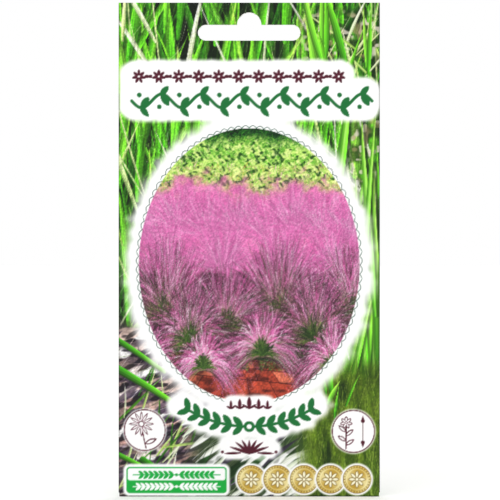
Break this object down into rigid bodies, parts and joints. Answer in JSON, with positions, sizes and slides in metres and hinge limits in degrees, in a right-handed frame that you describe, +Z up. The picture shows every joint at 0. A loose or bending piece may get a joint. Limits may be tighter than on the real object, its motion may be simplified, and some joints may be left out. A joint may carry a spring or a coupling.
{
  "type": "seed packet",
  "caption": "Flat folded paper seed packet with a euro hang slot, a glued back seam and bottom flap, and a heat-sealed inner sachet of loose grass seed.",
  "frame": {"origin": "top of the euro slot's hump, midway across the packet and through its thickness, where a display peg carries it", "axes": "+Z up along the packet's length towards the header, -Y out of the printed front panel, +X to the right as the front is seen"},
  "size_m": [0.08, 0.0023, 0.1513],
  "materials": {
    "printed_paper": "satin",
    "dried_glue": "satin",
    "glassine": "satin",
    "seed_husk": "matte"
  },
  "bodies": {
    "root": {"packet_sheet": "printed_paper", "seam_glue": "dried_glue", "header_glue": "dried_glue", "flap_glue": "dried_glue", "sachet_front_film": "glassine", "sachet_back_film": "glassine", "seed_01": "seed_husk", "seed_02": "seed_husk", "seed_03": "seed_husk", "seed_04": "seed_husk", "seed_05": "seed_husk", "seed_06": "seed_husk", "seed_07": "seed_husk", "seed_08": "seed_husk", "seed_09": "seed_husk", "seed_10": "seed_husk", "seed_11": "seed_husk", "seed_12": "seed_husk"}
  },
  "joints": []
}
